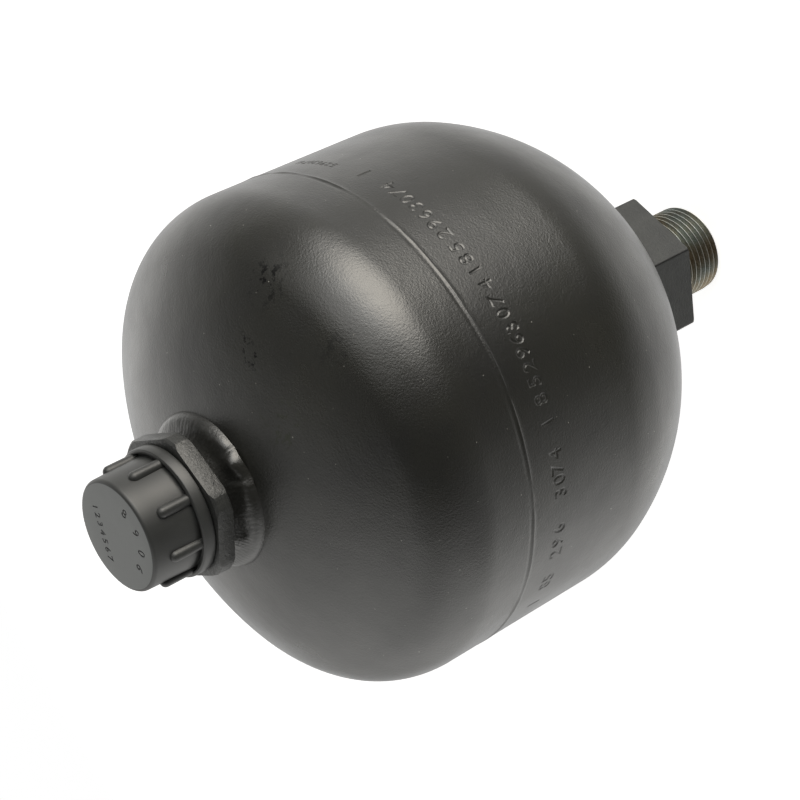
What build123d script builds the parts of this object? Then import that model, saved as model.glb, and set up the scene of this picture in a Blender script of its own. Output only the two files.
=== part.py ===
from build123d import *
import math
import os

# Welded diaphragm accumulator, 1.4 litre class.
# Millimetres. Z is the vessel axis with the gas side up, and the origin lies on
# the axis in the end face of the fluid port.
# The X axis is square to one flat of the port hexagon.

# pressure vessel
body_dia = 141.0          # outside diameter of both drawn halves
wall = 5.0                # shell thickness
gas_straight = 12.5       # straight flange of the gas half
gas_knuckle = 23.5        # outside knuckle radius of the gas head
gas_crown_extra = 37.5    # outside crown radius of the gas head, over the body radius
fluid_straight = 38.0
fluid_knuckle = 39.5
fluid_crown_extra = 2.0

# girth weld
seam_width = 3.0          # bead at the outer surface
seam_cap = 0.35           # bead height over the shells
seam_root = 0.8           # gap at the root
seam_land = 1.0           # square land under the bevels

# fluid port forging
port_hex = 41.0           # across flats
port_hex_height = 16.5
port_hex_gap = 1.8        # back of the port hexagon to the crown of the fluid head
port_hex_chamfer_dia = 42.4
port_thread_dia = 27.0    # M27x2
port_thread_pitch = 2.0
port_thread_length = 21.5
port_relief_dia = 23.9
port_relief_length = 3.5
port_bore = 13.0
port_mouth_bevel = 1.0
port_spigot_dia = 30.0
port_stand_in = 2.0       # spigot face above the inner crown
port_weld_toe_dia = 51.0

# gas boss forging
boss_hex = 38.0
boss_hex_thick = 5.0
boss_hex_turned_dia = 41.8
boss_hex_clear = 5.4      # underside of the hexagon over the crown of the gas head
boss_hex_turn = -10.9     # degrees, flat of the gas hexagon against the port hexagon
boss_thread_dia = 28.0    # M28x1.5
boss_thread_length = 13.0
boss_neck_dia = 30.0
boss_spigot_dia = 28.0
boss_bore = 5.0
boss_weld_toe_dia = 43.9
boss_weld_bulge = 0.8
boss_weld_clear = 0.9     # weld to the underside of the hexagon
weld_stop_radius = 2.4    # start and stop lump of the boss weld
weld_stop_angle = -84.0

# charging screw, M14x1.5 with collar and hexagon socket
screw_thread_dia = 14.0
screw_length = 12.0
screw_collar_dia = 19.0
screw_collar = 3.0
screw_socket = 6.0
screw_socket_depth = 6.5
seal_thick = 1.5
seal_dia = 18.0
recess_clear = 0.7        # collar to the wall of its recess, on the radius
recess_rim = 0.5          # rim of the nose above the collar
screw_hole_extra = 2.0

# diaphragm, its clamp and its valve plate
rubber = 2.2
bead_height = 5.8
bead_width = 2.7
bead_drop = 10.0          # centre of the bead under the seam
bead_round = 1.1
clamp_above_seam = 5.0
clamp_wall = 5.0
clamp_lip_reach = 2.0     # lip below the bead
plate_inset = 1.0         # rim of the plate inside the spigot of the port
plate_thick = 3.6
plate_bevel = 0.8
plate_stem_dia = 9.0
plate_stem = 2.6
plate_anchor_dia = 15.0
plate_anchor = 1.8
rubber_over_anchor = 2.2
rubber_hub_foot = 3.0     # foot of the hub past the rim of the plate, on the radius
rubber_hub_slope = 5.5    # top of the hub inside its foot, on the radius
rubber_land = 1.5         # rubber past the rim of the plate, on the radius

# protective cap, moulded plastic
cap_wall = 1.6            # wall over the thread, at the closed end
cap_draft = 0.3           # growth of the knob radius down to the flange
cap_flange_reach = 2.45   # flange rim over the knob
cap_flange_thick = 3.5
cap_height = 17.6
cap_end_wall = 2.2
cap_edge_round = 1.1
cap_rib_count = 8
cap_rib_width = 3.2
cap_rib_reach = 1.65      # rib over the knob wall
cap_rib_setback = 4.8     # rib end below the closed end
cap_rib_turn = 2.7        # degrees
cap_groove_width = 0.9
cap_groove_depth = 1.0
cap_flange_bevel = 0.6

# clearances
thread_fit = 0.06         # radial, stands for the thread flank clearance
slip_fit = 0.05           # radial
cap_seat = 0.2            # cap flange over the hexagon
rubber_gap = 0.3          # rubber to the shell
plate_seat = 0.1          # valve plate over its seat

body_r = body_dia / 2
inner_r = body_r - wall
root_r = inner_r + seam_land
cap_hollow_r = boss_thread_dia / 2 + thread_fit
cap_knob_r = cap_hollow_r + cap_wall
plate_r = port_spigot_dia / 2 - plate_inset
gas_crown = body_r + gas_crown_extra
fluid_crown = body_r + fluid_crown_extra


def head(radius, knuckle, crown):
    """Tangent point and centre height of a dished head on a cylinder of this radius."""
    centre_drop = math.sqrt((crown - knuckle) ** 2 - (radius - knuckle) ** 2)
    turn = math.atan2(radius - knuckle, centre_drop)
    return centre_drop, turn


def head_height(radius, knuckle, crown):
    return crown - head(radius, knuckle, crown)[0]


def head_level(at_r, radius, knuckle, crown):
    """Height of the crown over the tangent line, at radius at_r."""
    return math.sqrt(crown ** 2 - at_r ** 2) - head(radius, knuckle, crown)[0]


def head_edges(radius, knuckle, crown, tangent_z, way, end_r):
    """Knuckle and crown arcs, from the cylinder in to end_r; way is 1 up or -1 down."""
    centre_drop, turn = head(radius, knuckle, crown)
    half = (math.pi / 2 - turn) / 2
    full = math.pi / 2 - turn

    def on_knuckle(t):
        return (radius - knuckle + knuckle * math.cos(t), 0, tangent_z + way * knuckle * math.sin(t))

    def on_crown(s):
        return (crown * math.sin(s), 0, tangent_z + way * (crown * math.cos(s) - centre_drop))

    end = math.asin(end_r / crown)
    arcs = [
        ThreePointArc(on_knuckle(0), on_knuckle(half), on_knuckle(full)),
        ThreePointArc(on_crown(turn), on_crown((turn + end) / 2), on_crown(end)),
    ]
    return arcs, on_crown(end)


def turned(edges):
    """Body of revolution of a closed outline drawn in the XZ plane."""
    return revolve(make_face(edges), Axis.Z)


def turned_polygon(points):
    outline = [(r, 0, z) for r, z in points]
    return turned(Polyline(*outline, outline[0]))


def ring(outer_r, inner_r_, low, high):
    tube = Pos(0, 0, low) * Cylinder(outer_r, high - low, align=(Align.CENTER, Align.CENTER, Align.MIN))
    return tube - Pos(0, 0, low) * Cylinder(inner_r_, high - low, align=(Align.CENTER, Align.CENTER, Align.MIN))


def hexagon(across_flats, low, high, turn=0.0):
    """Hexagonal bar with a flat square to X, turned by turn degrees."""
    outline = RegularPolygon(across_flats / 2, 6, major_radius=False, rotation=turn)
    flat = Pos(0, 0, low) * outline
    return extrude(flat, high - low)


# heights along the axis
port_shoulder = port_thread_length
port_hex_top = port_shoulder + port_hex_height
fluid_crown_z = port_hex_top + port_hex_gap
fluid_floor_z = fluid_crown_z + wall
fluid_tangent = fluid_crown_z + head_height(body_r, fluid_knuckle, fluid_crown)
seam_height = fluid_tangent + fluid_straight
gas_tangent = seam_height + gas_straight
gas_crown_z = gas_tangent + head_height(body_r, gas_knuckle, gas_crown)
port_seat_z = fluid_floor_z + port_stand_in
plate_low = port_seat_z + plate_seat
boss_hex_low = gas_crown_z + boss_hex_clear
boss_face_z = boss_hex_low + boss_hex_thick
nose_top = boss_face_z + boss_thread_length
recess_floor = nose_top - recess_rim - screw_collar - seal_thick
collar_low = recess_floor + seal_thick
collar_top = collar_low + screw_collar
cap_low = boss_face_z + cap_seat
cap_top = cap_low + cap_height
cap_flange_top = cap_low + cap_flange_thick


def shell(way, straight, knuckle, crown, tangent_z, hole_r):
    """One drawn half: straight flange, knuckle and crown, bevelled for the girth weld."""
    outer, outer_end = head_edges(body_r, knuckle, crown, tangent_z, way, hole_r)
    inner, inner_end = head_edges(inner_r, knuckle - wall, crown - wall, tangent_z, way, hole_r)
    lip = seam_height + way * seam_width / 2
    root = seam_height + way * seam_root / 2
    edges = [
        Line((inner_r, 0, root), (root_r, 0, root)),
        Line((root_r, 0, root), (body_r, 0, lip)),
        Line((body_r, 0, lip), (body_r, 0, tangent_z)),
        *outer,
        Line(outer_end, inner_end),
        *inner,
        Line((inner_r, 0, tangent_z), (inner_r, 0, root)),
    ]
    return turned(edges)


def make_gas_shell():
    hole_r = boss_spigot_dia / 2 + slip_fit
    return shell(1, gas_straight, gas_knuckle, gas_crown, gas_tangent, hole_r)


def make_fluid_shell():
    hole_r = port_spigot_dia / 2 + slip_fit
    return shell(-1, fluid_straight, fluid_knuckle, fluid_crown, fluid_tangent, hole_r)


def make_girth_weld():
    """V weld through the wall with a low cap, rooted on the clamping ring."""
    lip = seam_width / 2
    root = seam_root / 2
    edges = [
        Polyline(
            (body_r, 0, seam_height - lip),
            (root_r, 0, seam_height - root),
            (inner_r, 0, seam_height - root),
            (inner_r, 0, seam_height + root),
            (root_r, 0, seam_height + root),
            (body_r, 0, seam_height + lip),
        ),
        ThreePointArc(
            (body_r, 0, seam_height + lip),
            (body_r + seam_cap, 0, seam_height),
            (body_r, 0, seam_height - lip),
        ),
    ]
    return turned(edges)


def make_fluid_port():
    """One forging: external thread, relief, hexagon, spigot through the shell, bore."""
    thread_r = port_thread_dia / 2
    relief_r = port_relief_dia / 2
    relief_low = port_shoulder - port_relief_length
    end_chamfer = port_thread_pitch * 0.75
    body = turned_polygon([
        (port_bore / 2, port_mouth_bevel),
        (port_bore / 2 + port_mouth_bevel, 0),
        (thread_r - end_chamfer, 0),
        (thread_r, end_chamfer),
        (thread_r, relief_low),
        (relief_r, relief_low + thread_r - relief_r),
        (relief_r, port_shoulder),
        (port_spigot_dia / 2, port_shoulder),
        (port_spigot_dia / 2, port_seat_z),
        (port_bore / 2, port_seat_z),
    ])
    cone_r = port_hex_chamfer_dia / 2
    rise = port_hex * math.tan(math.radians(30))
    trim = turned_polygon([
        (relief_r, port_shoulder),
        (cone_r, port_shoulder),
        (cone_r + port_hex, port_shoulder + rise),
        (relief_r, port_shoulder + rise),
    ])
    nut = hexagon(port_hex, port_shoulder, port_hex_top)
    return body + (nut & trim)


def make_port_weld():
    """Fillet between the back of the port hexagon and the shell."""
    toe_r = port_weld_toe_dia / 2
    in_r = port_spigot_dia / 2 + slip_fit
    toe_z = fluid_tangent - head_level(toe_r, body_r, fluid_knuckle, fluid_crown)
    in_z = fluid_tangent - head_level(in_r, body_r, fluid_knuckle, fluid_crown)
    mid_r = (toe_r + in_r) / 2
    mid_z = fluid_tangent - head_level(mid_r, body_r, fluid_knuckle, fluid_crown)
    root_z = port_hex_top
    out_r = port_hex / 2 - 0.5
    edges = [
        Line((in_r, 0, in_z), (in_r, 0, root_z)),
        Line((in_r, 0, root_z), (out_r, 0, root_z)),
        ThreePointArc((out_r, 0, root_z), (out_r + 2.6, 0, (root_z + toe_z) / 2 - 0.4), (toe_r, 0, toe_z)),
        ThreePointArc((toe_r, 0, toe_z), (mid_r, 0, mid_z), (in_r, 0, in_z)),
    ]
    return turned(edges)


def make_gas_boss():
    """One forging: spigot, neck, thin hexagon and threaded nose, bored for the screw."""
    nose_r = boss_thread_dia / 2
    spigot_low = gas_crown_z - wall - 1.0
    neck_low = gas_tangent + head_level(boss_neck_dia / 2, body_r, gas_knuckle, gas_crown) + 0.6
    seat_r = screw_collar_dia / 2 + recess_clear
    tap_r = screw_thread_dia / 2 + thread_fit
    tap_low = collar_low - screw_length - screw_hole_extra
    body = turned_polygon([
        (boss_bore / 2, spigot_low),
        (boss_spigot_dia / 2, spigot_low),
        (boss_spigot_dia / 2, neck_low),
        (boss_neck_dia / 2, neck_low),
        (boss_neck_dia / 2, boss_face_z - 0.5),
        (nose_r, boss_face_z),
        (nose_r, nose_top - 1.0),
        (nose_r - 1.0, nose_top),
        (seat_r + 0.4, nose_top),
        (seat_r, nose_top - 0.4),
        (seat_r, recess_floor),
        (tap_r, recess_floor),
        (tap_r, tap_low),
        (boss_bore / 2, tap_low - (tap_r - boss_bore / 2) * math.tan(math.radians(31))),
    ])
    bar = hexagon(boss_hex, boss_hex_low, boss_face_z, boss_hex_turn)
    turned_r = boss_hex_turned_dia / 2
    trim = turned_polygon([
        (boss_neck_dia / 2 - 0.5, boss_hex_low),
        (turned_r - 0.5, boss_hex_low),
        (turned_r, boss_hex_low + 0.5),
        (turned_r, boss_face_z - 0.7),
        (turned_r - 0.7, boss_face_z),
        (boss_neck_dia / 2 - 0.5, boss_face_z),
    ])
    return body + (bar & trim)


def make_boss_weld():
    """Fillet from the neck down to the gas head, with the lump where the bead closes."""
    toe_r = boss_weld_toe_dia / 2
    in_r = boss_neck_dia / 2 + slip_fit
    base = gas_tangent

    def on_head(r):
        return (r, 0, base + head_level(r, body_r, gas_knuckle, gas_crown))

    top = (in_r, 0, boss_hex_low - boss_weld_clear)
    toe = on_head(toe_r)
    chord = math.hypot(toe[0] - top[0], toe[2] - top[2])
    normal = ((top[2] - toe[2]) / chord, (toe[0] - top[0]) / chord)
    crest = ((top[0] + toe[0]) / 2 + boss_weld_bulge * normal[0], 0, (top[2] + toe[2]) / 2 + boss_weld_bulge * normal[1])
    bead = turned([
        Line(on_head(in_r), top),
        ThreePointArc(top, crest, toe),
        ThreePointArc(toe, on_head((toe_r + in_r) / 2), on_head(in_r)),
    ])
    lump = Rot(0, 0, weld_stop_angle) * Pos(toe_r - 1.3, 0, toe[2] + 0.9) * Sphere(weld_stop_radius)
    keep = Pos(0, 0, base) * shell_cutter()
    return bead + (lump - keep)


def shell_cutter():
    """Everything inside the outer face of the gas head, with its base at zero."""
    arcs, end = head_edges(body_r, gas_knuckle, gas_crown, 0, 1, 0.0)
    return turned([*arcs, Line(end, (0, 0, 0)), Line((0, 0, 0), (body_r, 0, 0))])


def make_seal_ring():
    inner = screw_thread_dia / 2 + slip_fit
    return ring(seal_dia / 2, inner, recess_floor, collar_low)


def make_charging_screw():
    shank_r = screw_thread_dia / 2
    collar_r = screw_collar_dia / 2
    low = collar_low - screw_length
    body = turned_polygon([
        (0, low),
        (shank_r - 1.1, low),
        (shank_r, low + 1.1),
        (shank_r, collar_low),
        (collar_r, collar_low),
        (collar_r, collar_top - 0.6),
        (collar_r - 0.6, collar_top),
        (0, collar_top),
    ])
    socket = hexagon(screw_socket, collar_top - screw_socket_depth, collar_top)
    drill = Pos(0, 0, collar_top - screw_socket_depth) * Cone(
        0.3, screw_socket / 2, 1.4, align=(Align.CENTER, Align.CENTER, Align.MAX))
    return body - socket - drill


def make_clamping_ring():
    """Ring inside the seam: backs the weld and nips the bead of the diaphragm."""
    out_r = inner_r - slip_fit
    in_r = out_r - clamp_wall
    top = seam_height + clamp_above_seam
    bead_top = seam_height - bead_drop + bead_height / 2 + slip_fit
    lip_r = inner_r - rubber_gap - bead_width - slip_fit
    low = seam_height - bead_drop - bead_height / 2 - clamp_lip_reach
    return turned_polygon([
        (in_r, low + 1.0),
        (in_r, top - 1.0),
        (in_r + 1.0, top),
        (out_r - 1.0, top),
        (out_r, top - 1.0),
        (out_r, bead_top),
        (lip_r, bead_top),
        (lip_r, low + 0.4),
        (lip_r - 0.4, low),
        (in_r + 0.6, low),
    ])


def plate_top_points():
    """Upper side of the valve plate from its rim to the axis; the rubber is moulded on it."""
    rim = plate_r
    top = plate_low + plate_thick
    anchor_low = top + plate_stem
    anchor_top = anchor_low + plate_anchor
    return [
        (rim, top - plate_bevel),
        (rim - plate_bevel, top),
        (plate_stem_dia / 2, top),
        (plate_stem_dia / 2, anchor_low),
        (plate_anchor_dia / 2, anchor_low),
        (plate_anchor_dia / 2, anchor_top),
        (0, anchor_top),
    ]


def make_valve_plate():
    """Steel plate that shuts the port, with a stem and anchor held in the rubber."""
    rim = plate_r
    return turned_polygon([
        (0, plate_low),
        (rim - plate_bevel, plate_low),
        (rim, plate_low + plate_bevel),
        *plate_top_points(),
    ])


def make_diaphragm():
    """Moulded bowl lying against the fluid half, with rim bead and centre hub."""
    out_r = inner_r - rubber_gap
    out_knuckle = fluid_knuckle - wall - rubber_gap
    out_crown = fluid_crown - wall - rubber_gap
    in_r = out_r - rubber
    hub_r = plate_r + rubber_hub_foot
    land_r = plate_r + rubber_land
    outer, outer_end = head_edges(out_r, out_knuckle, out_crown, fluid_tangent, -1, land_r)
    inner, inner_end = head_edges(
        in_r, out_knuckle - rubber, out_crown - rubber, fluid_tangent, -1, hub_r)
    bead_top = seam_height - bead_drop + bead_height / 2
    bead_low = bead_top - bead_height
    bead_in = out_r - bead_width
    anchor_top = plate_top_points()[-1][1]
    hub_top = anchor_top + rubber_over_anchor
    moulded = [(r, 0, z) for r, z in plate_top_points()]
    edges = [
        Line((out_r, 0, bead_top - bead_round), (out_r, 0, fluid_tangent)),
        *outer,
        Polyline(outer_end, *moulded, (0, 0, hub_top), (hub_r - rubber_hub_slope, 0, hub_top), inner_end),
        *inner,
        Polyline(
            (in_r, 0, fluid_tangent),
            (in_r, 0, bead_low - 0.8),
            (bead_in, 0, bead_low + 0.3),
            (bead_in, 0, bead_top - bead_round),
            (bead_in + bead_round, 0, bead_top),
            (out_r - bead_round, 0, bead_top),
            (out_r, 0, bead_top - bead_round),
        ),
    ]
    return turned(edges)


def cap_rib():
    """Half round grip bar with a domed end, standing on the flange."""
    r = cap_rib_width / 2
    low = cap_flange_top - cap_groove_depth
    high = cap_top - cap_rib_setback - r
    out = cap_knob_r + cap_rib_reach - r
    bar = Pos(out, 0, low) * Cylinder(r, high - low, align=(Align.CENTER, Align.CENTER, Align.MIN))
    return bar + Pos(out, 0, high) * Sphere(r)


def make_protective_cap():
    knob_r = cap_knob_r
    foot_r = knob_r + cap_draft
    flange_r = knob_r + cap_flange_reach
    floor = cap_flange_top - cap_groove_depth
    groove_r = foot_r + cap_groove_width
    outside = turned_polygon([
        (0, cap_low),
        (flange_r, cap_low),
        (flange_r, cap_flange_top - cap_flange_bevel),
        (flange_r - cap_flange_bevel, cap_flange_top),
        (groove_r, cap_flange_top),
        (groove_r, floor),
        (foot_r, floor),
        (knob_r, cap_top),
        (0, cap_top),
    ])
    rim = outside.edges().filter_by(GeomType.CIRCLE).group_by(Axis.Z)[-1]
    outside = fillet(rim, cap_edge_round)
    for k in range(cap_rib_count):
        outside += Rot(0, 0, cap_rib_turn + k * 360 / cap_rib_count) * cap_rib()
    hollow_r = cap_hollow_r
    ceiling = cap_top - cap_end_wall
    hollow = turned_polygon([
        (0, cap_low),
        (hollow_r + 0.8, cap_low),
        (hollow_r, cap_low + 0.8),
        (hollow_r, ceiling - 0.8),
        (hollow_r - 0.8, ceiling),
        (0, ceiling),
    ])
    return outside - hollow


pieces = {
    "fluid_shell": make_fluid_shell,
    "gas_shell": make_gas_shell,
    "girth_weld": make_girth_weld,
    "fluid_port": make_fluid_port,
    "port_weld": make_port_weld,
    "gas_boss": make_gas_boss,
    "boss_weld": make_boss_weld,
    "clamping_ring": make_clamping_ring,
    "diaphragm": make_diaphragm,
    "valve_plate": make_valve_plate,
    "seal_ring": make_seal_ring,
    "charging_screw": make_charging_screw,
    "protective_cap": make_protective_cap,
}

os.makedirs("parts", exist_ok=True)
for name, make in pieces.items():
    solid = make()
    export_step(solid, f"parts/{name}.step")
    print(name, round(solid.volume / 1000, 2), "cm3")
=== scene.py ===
import bpy
import bmesh
import math
import random
from mathutils import Matrix, Vector, noise


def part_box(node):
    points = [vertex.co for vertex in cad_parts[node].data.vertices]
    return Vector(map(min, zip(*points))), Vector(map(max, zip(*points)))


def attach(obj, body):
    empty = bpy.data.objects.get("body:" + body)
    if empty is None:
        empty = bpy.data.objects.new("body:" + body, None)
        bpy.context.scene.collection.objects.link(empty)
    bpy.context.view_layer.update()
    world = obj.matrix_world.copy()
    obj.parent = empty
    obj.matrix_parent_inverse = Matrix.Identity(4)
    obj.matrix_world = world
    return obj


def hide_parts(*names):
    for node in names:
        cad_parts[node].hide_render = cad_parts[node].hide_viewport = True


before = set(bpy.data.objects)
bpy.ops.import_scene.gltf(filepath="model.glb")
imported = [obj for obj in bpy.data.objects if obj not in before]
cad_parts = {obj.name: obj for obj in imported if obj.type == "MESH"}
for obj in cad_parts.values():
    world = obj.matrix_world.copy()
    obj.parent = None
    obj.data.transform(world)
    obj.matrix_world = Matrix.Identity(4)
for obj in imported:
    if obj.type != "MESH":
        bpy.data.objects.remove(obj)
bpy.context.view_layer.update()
scene = bpy.context.scene
random.seed(28)
mm = 0.001
print("frame loaded:", len(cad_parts), "nodes")


def lowOf(node):
    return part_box(node)[0] / mm


def highOf(node):
    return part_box(node)[1] / mm


# heights and radii that the pieces share, in millimetres, from the frame
bodyR = highOf("fluid_shell").x
seamZ = (lowOf("girth_weld").z + highOf("girth_weld").z) / 2
seamLip = (highOf("girth_weld").z - lowOf("girth_weld").z) / 2
portSeatZ = highOf("fluid_port").z
fluidCrownZ = lowOf("fluid_shell").z
gasCrownZ = highOf("gas_shell").z
noseTopZ = highOf("gas_boss").z
capLowZ = lowOf("protective_cap").z
capTopZ = highOf("protective_cap").z


# outlines are drawn as radius and height in millimetres, then spun round Z
def startLine(bm, r, z):
    return bm.verts.new((r, 0, z))


def lineTo(bm, last, r, z, parts=1):
    start = last.co.copy()
    for k in range(parts):
        last = bmesh.ops.extrude_vert_indiv(bm, verts=[last])["verts"][0]
        last.co = start.lerp(Vector((r, 0, z)), (k + 1) / parts)
    return last


# turns the last point about a centre in the outline's plane; minus degrees climb from the outside in
def arcTo(bm, last, centreR, centreZ, degrees, steps):
    turned = bmesh.ops.spin(bm, geom=[last], cent=(centreR, 0, centreZ), axis=(0, 1, 0), dvec=(0, 0, 0),
                            angle=math.radians(degrees), steps=steps, use_merge=False,
                            use_normal_flip=False, use_duplicate=False)
    return [g for g in turned["geom_last"] if isinstance(g, bmesh.types.BMVert)][0]


def joinTo(bm, last, first):
    bm.edges.new((last, first))


def lathe(bm, steps):
    bmesh.ops.spin(bm, geom=bm.verts[:] + bm.edges[:], cent=(0, 0, 0), axis=(0, 0, 1), dvec=(0, 0, 0),
                   angle=math.tau, steps=steps, use_merge=True, use_normal_flip=False, use_duplicate=False)
    bmesh.ops.remove_doubles(bm, verts=bm.verts[:], dist=0.0005)
    bmesh.ops.recalc_face_normals(bm, faces=bm.faces[:])


def outline(bm, points):
    first = last = startLine(bm, *points[0])
    for r, z in points[1:]:
        last = lineTo(bm, last, r, z)
    joinTo(bm, last, first)


def turnedSolid(points, steps=128):
    bm = bmesh.new()
    outline(bm, points)
    lathe(bm, steps)
    return bm


def turnRound(bm, degrees):
    matrix = Matrix.Rotation(math.radians(degrees), 3, "Z")
    bmesh.ops.rotate(bm, verts=bm.verts[:], cent=(0, 0, 0), matrix=matrix)


def hexBar(acrossFlats, low, high, turn=0.0, edge=0.0):
    bm = bmesh.new()
    corner = acrossFlats / math.sqrt(3)
    bmesh.ops.create_cone(bm, cap_ends=True, cap_tris=False, segments=6, radius1=corner, radius2=corner,
                          depth=high - low, matrix=Matrix.Translation((0, 0, (low + high) / 2)))
    if edge:
        upright = [e for e in bm.edges if abs(e.verts[0].co.z - e.verts[1].co.z) > 0.5 * (high - low)]
        bmesh.ops.bevel(bm, geom=upright, offset=edge, segments=3, profile=0.5, affect="EDGES", material=-1)
    turnRound(bm, turn)
    return bm


# right-handed thread, crest an eighth of its pitch and root a quarter: one pitch is spun up the helix, cut
# square at both ends and capped
def threadRod(rootR, crestR, pitch, low, high, perTurn=64):
    bm = bmesh.new()
    last = startLine(bm, rootR, low - pitch)
    for r, share in ((rootR, 0.12), (crestR, 0.44), (crestR, 0.56), (rootR, 0.88), (rootR, 1.0)):
        last = lineTo(bm, last, r, low - pitch + share * pitch)
    turns = math.ceil((high - low) / pitch) + 2
    bmesh.ops.spin(bm, geom=bm.verts[:] + bm.edges[:], cent=(0, 0, 0), axis=(0, 0, 1),
                   dvec=(0, 0, pitch / perTurn), angle=math.tau * turns, steps=perTurn * turns,
                   use_merge=False, use_normal_flip=False, use_duplicate=False)
    bmesh.ops.remove_doubles(bm, verts=bm.verts[:], dist=0.002)
    for height, way in ((low, -1), (high, 1)):
        cut = bmesh.ops.bisect_plane(bm, geom=bm.verts[:] + bm.edges[:] + bm.faces[:], dist=0.0001,
                                     plane_co=(0, 0, height), plane_no=(0, 0, way), clear_outer=True)
        rim = [g for g in cut["geom_cut"] if isinstance(g, bmesh.types.BMEdge)]
        bmesh.ops.contextual_create(bm, geom=rim)
    bmesh.ops.recalc_face_normals(bm, faces=bm.faces[:])
    return bm


# noise that closes on itself round the axis: a larger count makes shorter waves
def roundNoise(angle, count, level):
    return noise.noise((count * math.cos(angle), count * math.sin(angle), level))
def asObject(name, bm):
    bmesh.ops.scale(bm, vec=(mm, mm, mm), verts=bm.verts[:])
    mesh = bpy.data.meshes.new(name)
    bm.to_mesh(mesh)
    bm.free()
    piece = bpy.data.objects.new(name, mesh)
    scene.collection.objects.link(piece)
    return piece


# makes the modifiers so far part of the mesh
def settle(piece):
    bpy.context.view_layer.update()
    shaped = bpy.data.meshes.new_from_object(piece.evaluated_get(bpy.context.evaluated_depsgraph_get()))
    piece.modifiers.clear()
    piece.data = shaped


def carve(piece, tool, how="DIFFERENCE", overlapping=False):
    change = piece.modifiers.new("carve", "BOOLEAN")
    change.operation = how
    change.solver = "EXACT"
    change.use_self = overlapping
    change.object = tool
    settle(piece)
    bpy.data.objects.remove(tool)


def rounded(piece, width, angle, segments):
    edge = piece.modifiers.new("edge", "BEVEL")
    edge.width = width * mm
    edge.segments = segments
    edge.limit_method = "ANGLE"
    edge.angle_limit = math.radians(angle)
    settle(piece)


# one object from several closed shells that belong to one forging or moulding
def merged(name, parts):
    bm = bmesh.new()
    for part in parts:
        bm.from_mesh(part.data)
        bpy.data.objects.remove(part)
    mesh = bpy.data.meshes.new(name)
    bm.to_mesh(mesh)
    bm.free()
    piece = bpy.data.objects.new(name, mesh)
    scene.collection.objects.link(piece)
    return piece


def place(piece, body, node, creaseAngle=32):
    piece.data.shade_smooth()
    piece.data.set_sharp_from_angle(angle=math.radians(creaseAngle))
    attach(piece, body)
    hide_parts(node)
    return piece


# the two drawn halves: straight wall, knuckle and crown, the same inside, and half a weld bevel at the lip
shellSizes = dict(
    wall=5.0,
    lipRoot=0.4,            # half the gap at the weld root
    land=1.0,
    gas=dict(way=1, straight=12.5, knuckle=23.5, crown=bodyR + 37.5, hole=14.05, mouth=gasCrownZ),
    fluid=dict(way=-1, straight=38.0, knuckle=39.5, crown=bodyR + 2.0, hole=15.05, mouth=fluidCrownZ),
    steps=288,
)


def headDrop(radius, knuckle, crown):
    return math.sqrt((crown - knuckle) ** 2 - (radius - knuckle) ** 2)


# degrees from the axis to where knuckle and crown meet
def headSlope(radius, knuckle, crown):
    return math.degrees(math.atan2(radius - knuckle, headDrop(radius, knuckle, crown)))


# height of the outside of a head at radius r on its crown
def crownHeight(half, r):
    s = shellSizes[half]
    tangent = seamZ + s["way"] * s["straight"]
    rise = math.sqrt(s["crown"] ** 2 - r ** 2) - headDrop(bodyR, s["knuckle"], s["crown"])
    return tangent + s["way"] * rise


def shellHalf(half):
    s = shellSizes[half]
    way, wall = s["way"], shellSizes["wall"]
    tangent = seamZ + way * s["straight"]
    outSlope = headSlope(bodyR, s["knuckle"], s["crown"])
    inSlope = headSlope(bodyR - wall, s["knuckle"] - wall, s["crown"] - wall)
    outEnd = math.degrees(math.asin(s["hole"] / s["crown"]))
    inEnd = math.degrees(math.asin(s["hole"] / (s["crown"] - wall)))
    drop = headDrop(bodyR, s["knuckle"], s["crown"])
    inDrop = headDrop(bodyR - wall, s["knuckle"] - wall, s["crown"] - wall)
    bm = bmesh.new()
    first = last = startLine(bm, bodyR, seamZ + way * seamLip)
    last = lineTo(bm, last, bodyR, tangent, parts=int(s["straight"] / 2))
    last = arcTo(bm, last, bodyR - s["knuckle"], tangent, -way * (90 - outSlope), 24)
    last = arcTo(bm, last, 0, tangent - way * drop, -way * (outSlope - outEnd), 30)
    inCrown = s["crown"] - wall
    last = lineTo(bm, last, s["hole"], tangent + way * (math.sqrt(inCrown ** 2 - s["hole"] ** 2) - inDrop))
    last = arcTo(bm, last, 0, tangent - way * inDrop, way * (inSlope - inEnd), 14)
    last = arcTo(bm, last, bodyR - s["knuckle"], tangent, way * (90 - inSlope), 12)
    last = lineTo(bm, last, bodyR - wall, seamZ + way * shellSizes["lipRoot"])
    last = lineTo(bm, last, bodyR - wall + shellSizes["land"], seamZ + way * shellSizes["lipRoot"])
    joinTo(bm, last, first)
    lathe(bm, shellSizes["steps"])
    return asObject(half + "_half", bm)


gasHalf = shellHalf("gas")
fluidHalf = shellHalf("fluid")
print("shells turned")


# plain figures stamped round the fluid half, below the seam
stampSizes = dict(
    belowSeam=10.0,
    figureSize=6.0,
    depth=0.06,
    flank=0.4,
    flatten=0.5,            # how shallow the sloping sides are
    turnSlip=0.2, heightSlip=0.3, tilt=7.0,     # how far a figure strays, in degrees, millimetres and degrees
    # degrees round the body, measured one by one and not worked out from a step
    angles=[-37.0, -44.6, -47.9, -50.8, -53.3, -56.7, -59.4, -62.7, -66.5, -69.7, -72.8, -76.5, -80.5, -83.6,
            -86.7, -89.6, -92.2, -95.6, -98.7, -102.8, -107.8, -115.0, -118.5, -121.1, -124.3, -133.2, -137.0,
            -140.3, -147.9, -150.5, -157.9],
    small=dict(angles=[-15.9, -17.4, -18.9, -20.5, -22.0, -23.4, -25.0, -26.6, -28.2], figureSize=3.4,
               belowSeam=9.0),
)


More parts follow.
